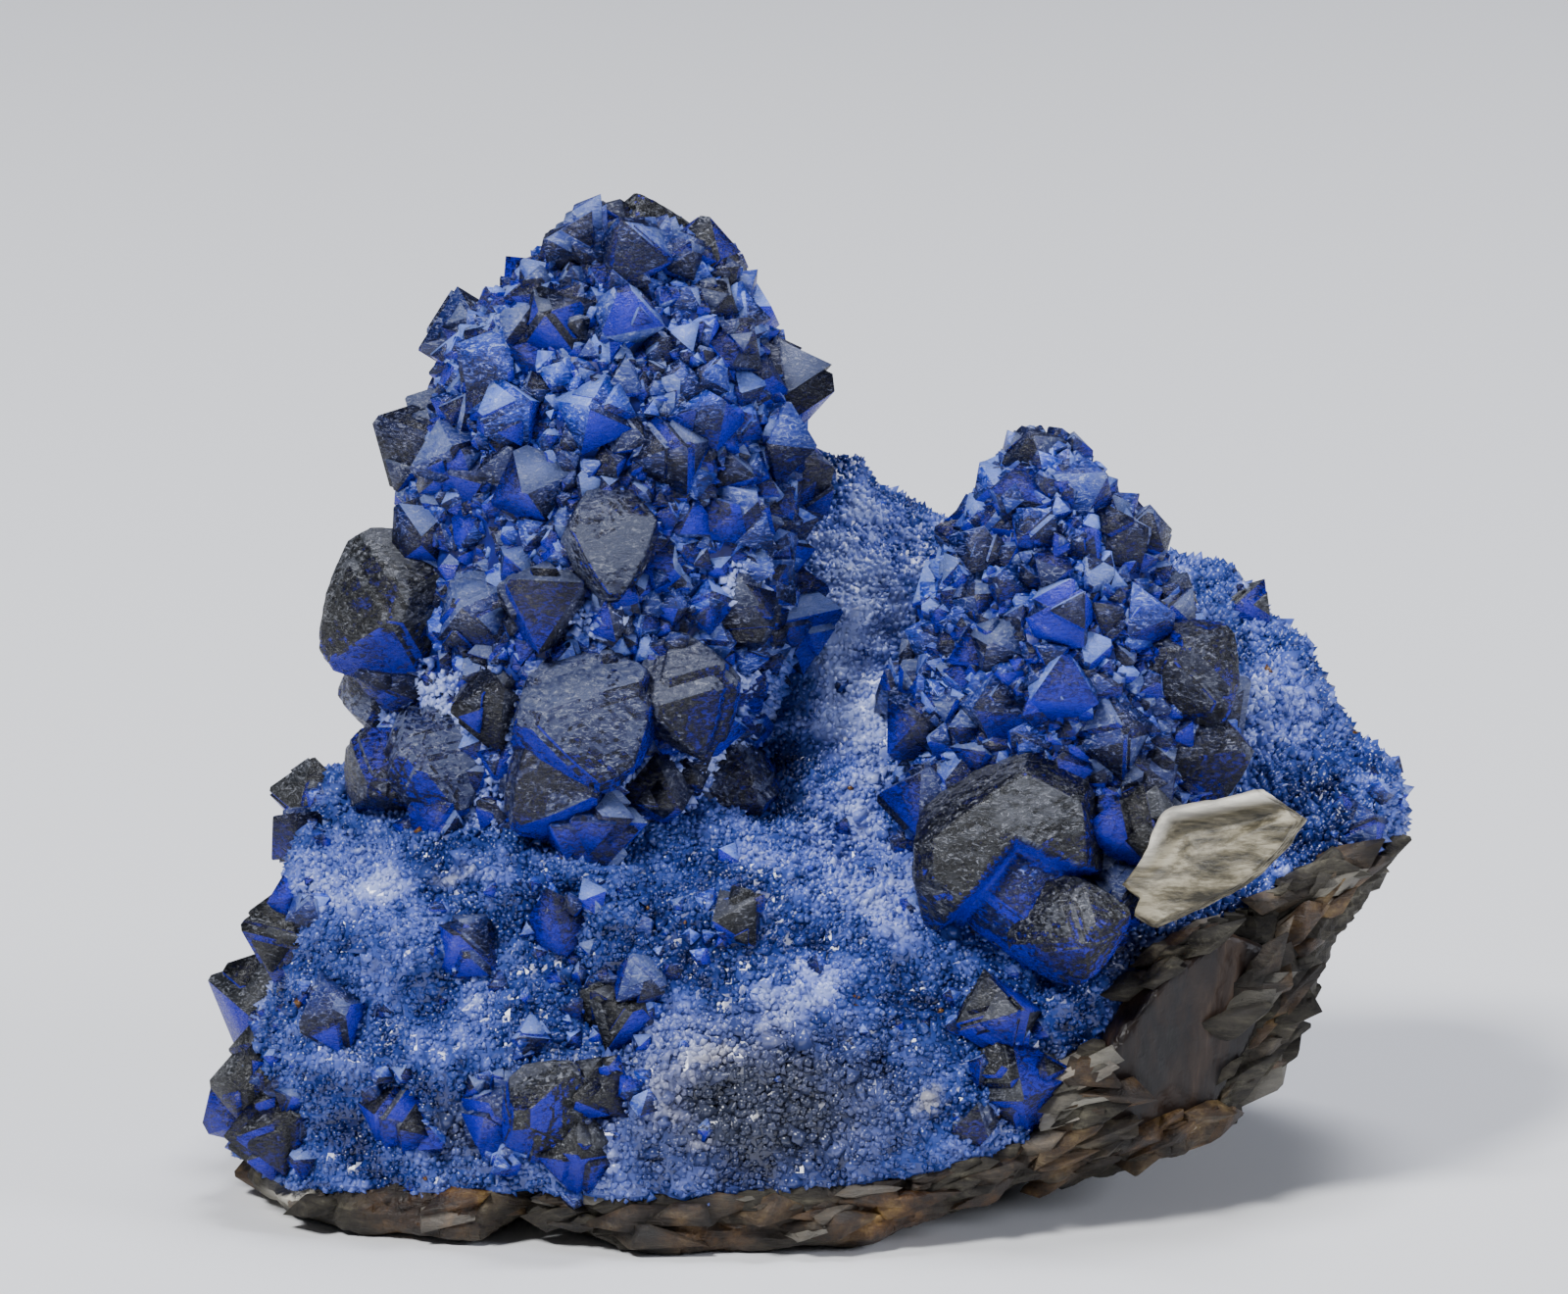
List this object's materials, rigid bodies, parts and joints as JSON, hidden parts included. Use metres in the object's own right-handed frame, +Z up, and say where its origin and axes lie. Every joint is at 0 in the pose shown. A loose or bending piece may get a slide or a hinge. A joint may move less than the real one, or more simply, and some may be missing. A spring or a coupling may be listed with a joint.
{
  "type": "fluorite specimen",
  "caption": "Loose mineral specimen: blue fluorite crystal stalks on pale quartz druse over foliated host rock, with a cream blade, resting on a flat underside.",
  "frame": {"origin": "on the flat underside of the host rock, below the middle of the area that rests on the surface", "axes": "+Z up, +X to the right of the displayed side along the specimen's length, -Y towards the viewer of the displayed side"},
  "size_m": [0.091, 0.0557, 0.0751],
  "materials": {
    "fluorite": "translucent deep blue crystal with silvery stepped faces",
    "quartz": "sugary druse of fine pale crystals",
    "host_rock": "rough foliated grey-brown rock",
    "spar": "smooth brown cleaved crystal",
    "blade": "satin cream platy mineral with layered edges"
  },
  "bodies": {
    "root": {"brown_spar": "spar", "cream_blade": "blade", "fluorite_back": "fluorite", "fluorite_front": "fluorite", "fluorite_left_edge_1": "fluorite", "fluorite_left_edge_2": "fluorite", "fluorite_left_edge_3": "fluorite", "fluorite_middle": "fluorite", "fluorite_rim": "fluorite", "fluorite_short_stalk": "fluorite", "fluorite_shoulder_1": "fluorite", "fluorite_shoulder_2": "fluorite", "fluorite_tall_stalk": "fluorite", "host_rock": "host_rock", "octahedron_back_high": "fluorite", "octahedron_back_low": "fluorite", "octahedron_back_right": "fluorite", "octahedron_front_left": "fluorite", "octahedron_low_left": "fluorite", "octahedron_ridge": "fluorite", "octahedron_right_end": "fluorite", "octahedron_slope": "fluorite", "octahedron_upper": "fluorite", "octahedron_valley": "fluorite", "quartz_druse": "quartz"}
  },
  "joints": []
}
